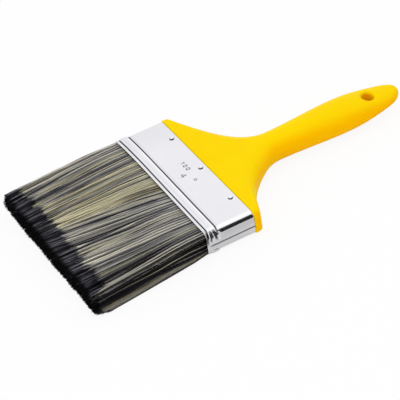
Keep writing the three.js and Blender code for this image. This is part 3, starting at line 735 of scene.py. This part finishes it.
def handle_rings(u, half_width, half_thickness, corner_x, corner_z):
    """Sections along the handle: rounded rectangles whose corners are elliptical quarters."""
    flat, quarter = np.linspace(-1, 1, 17), np.linspace(0, np.pi / 2, 33)
    upright = np.linspace(1, -1, 7)[1:-1]
    corner, corner_back = slice(17, 49), slice(48, 16, -1)
    a, b, cx, cz = (value[:, None] for value in (half_width, half_thickness, corner_x, corner_z))
    x = np.concatenate([
        (a - cx) * flat, a - cx + cx * np.sin(quarter[1:]), a + 0 * upright,
    ], axis=1)
    z = np.concatenate([
        b + 0 * flat, b - cz + cz * np.cos(quarter[1:]), (b - cz) * upright,
    ], axis=1)
    x = np.concatenate([x, x[:, corner_back], -(a - cx) * flat], axis=1)
    z = np.concatenate([z, -z[:, corner_back], -b + 0 * flat], axis=1)
    x = np.concatenate([x, -x[:, corner], -a + 0 * upright, -x[:, corner_back]], axis=1)
    z = np.concatenate([z, -z[:, corner], -(b - cz) * upright, z[:, corner_back]], axis=1)
    return x, z


# The grip's rings lie closer together where its outline turns and round the hang hole.
body_u = closer_where(0.5, REACH - 0.01, 210, [(0.5, 6, 1), (92, 103, 3), (REACH - 6, REACH, 3)])
opened = ease(body_u, -3.5, 40)
half_width, half_thickness = handle_half_width(body_u), handle_half_thickness(body_u)
corner_x, corner_z = (
    np.minimum(SHOULDER_CORNER + (half_size - SHOULDER_CORNER) * opened, 0.98 * half_size)
    for half_size in (half_width, half_thickness)
)

# The tenon and the step up to the shoulder: places along the handle, and how far each ring is set in.
foot_u = np.array([-8.5, -8.45, -8.1, -0.05, 0.0, 0.0, 0.04, 0.16, 0.32])
foot_inset = np.array([0.6, 0.25, 0.0, 0.0, 0.02, 0.30, 0.15, 0.04, 0.01])
in_tenon = np.arange(len(foot_u)) < 5
foot_width = np.where(in_tenon, TENON_HALF_WIDTH, handle_half_width(0.5)) - foot_inset
foot_thickness = np.where(in_tenon, TENON_HALF_THICKNESS, handle_half_thickness(0.5)) - foot_inset
foot_corner = np.where(in_tenon, TENON_CORNER, corner_x[0]) - foot_inset

all_u = np.concatenate([foot_u, body_u])
x, z = handle_rings(
    all_u, np.concatenate([foot_width, half_width]), np.concatenate([foot_thickness, half_thickness]),
    np.concatenate([foot_corner, corner_x]), np.concatenate([foot_corner, corner_z]),
)
y = np.broadcast_to(START + all_u[:, None], x.shape)
# The moulds' parting line stands a little proud round the edge.
side_middle = np.isclose(z, 0) & (all_u[:, None] > 1) & (all_u[:, None] < REACH - 1)
x = x + np.sign(x) * 0.05 * side_middle

# The flank towards +X is slimmer where the shoulder sweeps into the neck, and the other one is fuller.
waist = ease(all_u[:, None], 3.5, 13) * (1 - ease(all_u[:, None], 13, 30))
x = x * np.where(x > 0, 1 - 0.12 * waist, 1 + 0.025 * waist)

# Round the hang hole both faces dip in, as a quarter circle does.
hole_y = START + REACH - HOLE_FROM_END
away = np.hypot(x - HOLE_ASIDE, y - hole_y)
turned_in = np.clip((HOLE_RADIUS + HOLE_ROUNDING - away) / HOLE_ROUNDING, 0, 0.955)
z = z - np.sign(z) * HOLE_ROUNDING * (1 - np.sqrt(1 - turned_in**2)) * (np.abs(z) > 1)

around = x.shape[1]
rings = np.stack([x, y, MIDDLE + z], -1).reshape(-1, 3)
points = np.concatenate([
    [[0, START + all_u[0], MIDDLE]], rings, [[0, START + REACH, MIDDLE]],
])

handle_finish, nodes, links, shader = new_finish(
    "handle_plastic", IOR=1.2, Specular_IOR_Level=0.1, Subsurface_Weight=0.35, Subsurface_Scale=0.004,
    Subsurface_Radius=(1.0, 0.35, 0.03),
)
# Painted shade on the flanks: the plastic is coloured deeper orange where its surface faces sideways.
facing = nodes.new("ShaderNodeTexCoord")
facing_split = nodes.new("ShaderNodeSeparateXYZ")
links.new(facing.outputs["Normal"], facing_split.inputs[0])
sideways = nodes.new("ShaderNodeMath")
sideways.operation = "ABSOLUTE"
links.new(facing_split.outputs[0], sideways.inputs[0])
painted_flank_shade = ramp_node(nodes, [(0.25, (1.0, 0.675, 0.0)), (0.95, (1.0, 0.51, 0.0))], "EASE")
links.new(sideways.outputs[0], painted_flank_shade.inputs[0])
tint = ramp_node(nodes, [(0.3, (0.97, 0.96, 0.96)), (0.7, (1.0, 1.0, 1.0))])
links.new(object_noise(nodes, links, 40, 2), tint.inputs[0])
plastic = mix_node(nodes, links, 1.0, painted_flank_shade.outputs[0], tint.outputs[0], "MULTIPLY")
links.new(plastic, shader.inputs["Base Color"])
noisy_roughness(nodes, links, shader, object_noise(nodes, links, 300, 3), 0.30, 0.38)
bumps(nodes, links, shader, object_noise(nodes, links, 700, 2), 0.00002)

handle = mesh_piece("yellow_handle", points, turned_grid(len(all_u), around), handle_finish)

turn = np.linspace(0, 2 * np.pi, BORE_SIDES + 1)[:-1]
bore = np.array([HOLE_ASIDE, 0]) + (HOLE_RADIUS + 0.06) * np.stack([np.cos(turn), np.sin(turn)], 1)
levels = MIDDLE + np.array([-12, -4, -2, 0, 2, 4, 12])
bore_points = np.concatenate([
    [[HOLE_ASIDE, hole_y, levels[0]]],
    *(np.column_stack([bore[:, 0], hole_y + bore[:, 1], np.full(BORE_SIDES, level)]) for level in levels),
    [[HOLE_ASIDE, hole_y, levels[-1]]],
])
bore_tool = mesh_piece("hang_hole_tool", bore_points, turned_grid(len(levels), BORE_SIDES), handle_finish)
cut = handle.modifiers.new("hang_hole", "BOOLEAN")
cut.operation, cut.solver, cut.object = "DIFFERENCE", "EXACT", bore_tool
bpy.context.view_layer.update()
drilled = bpy.data.meshes.new_from_object(handle.evaluated_get(bpy.context.evaluated_depsgraph_get()))
handle.modifiers.clear()
handle.data = drilled
drilled.name = "yellow_handle"
bpy.data.objects.remove(bore_tool)
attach(handle, "handle_and_ferrule")
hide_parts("handle")


# ---- The room -------------------------------------------------------------------------------
# A white table between white walls under a wide softbox. A black flag to the camera's right draws part of
# the black band on the ferrule's bends and of the crescents on its nails; painted shade on both adds the
# rest.
TARGET = np.array([15.1, -24.8, 7.95])
AZIMUTH, ELEVATION, ROLL = np.radians([66.655, 38.55, -9.561])
DISTANCE, LENS = 1338.97, 232.55

level_back = np.array([np.sin(AZIMUTH), -np.cos(AZIMUTH), 0])
back = level_back * np.cos(ELEVATION) + np.array([0, 0, np.sin(ELEVATION)])
right = np.cross([0, 0, 1], back)
right /= np.linalg.norm(right)
up = np.cross(back, right)
camera_right = np.cos(ROLL) * right + np.sin(ROLL) * up
camera_up = -np.sin(ROLL) * right + np.cos(ROLL) * up
lens = bpy.data.cameras.new("camera")
lens.lens, lens.sensor_width, lens.clip_start, lens.clip_end = LENS, 36, 0.05, 20
camera = bpy.data.objects.new("camera", lens)
turned = Matrix(np.column_stack([camera_right, camera_up, back]).tolist()).to_4x4()
turned.translation = ((TARGET + DISTANCE * back) * METRE).tolist()
camera.matrix_world = turned
bpy.context.scene.collection.objects.link(camera)
bpy.context.scene.camera = camera


table_finish, nodes, links, shader = new_finish("table", Roughness=0.9, Specular_IOR_Level=0.0)
shader.inputs["Base Color"].default_value = (0.9, 0.9, 0.9, 1)
glow = nodes.new("ShaderNodeEmission")
glow.inputs["Color"].default_value = (1, 1, 1, 1)
# The glow is strongest for the camera and weaker in mirrors, so that the light on the table still shows.
path = nodes.new("ShaderNodeLightPath")
share = None
for ray, strength in (("Is Camera Ray", 0.90), ("Is Glossy Ray", 0.20), ("Is Transmission Ray", 0.20)):
    scaled = nodes.new("ShaderNodeMath")
    scaled.operation = "MULTIPLY"
    scaled.inputs[1].default_value = strength
    links.new(path.outputs[ray], scaled.inputs[0])
    if share is not None:
        highest = nodes.new("ShaderNodeMath")
        highest.operation = "MAXIMUM"
        links.new(share, highest.inputs[0])
        links.new(scaled.outputs[0], highest.inputs[1])
        scaled = highest
    share = scaled.outputs[0]
blend = nodes.new("ShaderNodeMixShader")
links.new(share, blend.inputs[0])
links.new(shader.outputs[0], blend.inputs[1])
links.new(glow.outputs[0], blend.inputs[2])
links.new(blend.outputs[0], nodes["Material Output"].inputs["Surface"])
TABLE_RADIUS, TABLE_LEVEL = 3000, -0.1
edge = np.linspace(0, 2 * np.pi, 65)[:-1]
table = mesh_piece("table", np.column_stack([
    TABLE_RADIUS * np.cos(edge), TABLE_RADIUS * np.sin(edge), np.full(len(edge), TABLE_LEVEL),
]), [list(range(len(edge)))], table_finish)

world = bpy.data.worlds.new("studio")
bpy.context.scene.world = world
world.use_nodes = True
nodes, links = world.node_tree.nodes, world.node_tree.links
direction = nodes.new("ShaderNodeTexCoord")
split = nodes.new("ShaderNodeSeparateXYZ")
links.new(direction.outputs["Generated"], split.inputs[0])


def between(nodes, links, value, start, end):
    """0 before start, 1 after end and a smooth step between, of a socket; start may be above end."""
    step = nodes.new("ShaderNodeMapRange")
    step.interpolation_type = "SMOOTHSTEP"
    step.inputs["From Min"].default_value = min(start, end)
    step.inputs["From Max"].default_value = max(start, end)
    if start > end:
        step.inputs["To Min"].default_value, step.inputs["To Max"].default_value = 1, 0
    links.new(value, step.inputs["Value"])
    return step.outputs[0]


grey_sheet = nodes.new("ShaderNodeMath")
grey_sheet.operation = "MULTIPLY"
links.new(between(nodes, links, split.outputs[1], 0.50, 0.40), grey_sheet.inputs[0])
links.new(between(nodes, links, split.outputs[0], -0.10, -0.25), grey_sheet.inputs[1])
walls = mix_node(nodes, links, grey_sheet.outputs[0], (1.13, 1.13, 1.13, 1), (0.99, 0.99, 1.01, 1))
black_flag = nodes.new("ShaderNodeMath")
black_flag.operation = "MULTIPLY"
links.new(between(nodes, links, split.outputs[0], 0.50, 0.58), black_flag.inputs[0])
links.new(between(nodes, links, split.outputs[1], 0.01, 0.07), black_flag.inputs[1])
surroundings = mix_node(nodes, links, black_flag.outputs[0], walls, (0.02, 0.02, 0.022, 1))
path = nodes.new("ShaderNodeLightPath")
sky = mix_node(nodes, links, path.outputs["Is Camera Ray"], surroundings, (1, 1, 1, 1))
links.new(sky, nodes["Background"].inputs["Color"])

softbox = bpy.data.lights.new("overhead_softbox", "AREA")
softbox.shape, softbox.size, softbox.size_y = "RECTANGLE", 1.2, 1.2
softbox.energy = 0.6
softbox_object = bpy.data.objects.new("overhead_softbox", softbox)
softbox_object.location = (-0.25, 0.1, 1.4)
softbox_object.rotation_euler = (-0.08, -0.18, 0)
bpy.context.scene.collection.objects.link(softbox_object)

# A soft fill from the camera's right brightens the brush's near side; metal doesn't mirror it.
fill = bpy.data.lights.new("side_fill", "AREA")
fill.shape, fill.size, fill.size_y = "RECTANGLE", 0.8, 0.8
fill.energy = 2.4
fill_object = bpy.data.objects.new("side_fill", fill)
fill_object.location = (1.15, -0.2, 0.15)
fill_object.rotation_euler = (0, np.radians(83), 0)
fill_object.visible_glossy = False
bpy.context.scene.collection.objects.link(fill_object)

bpy.context.scene.view_settings.view_transform = "Standard"
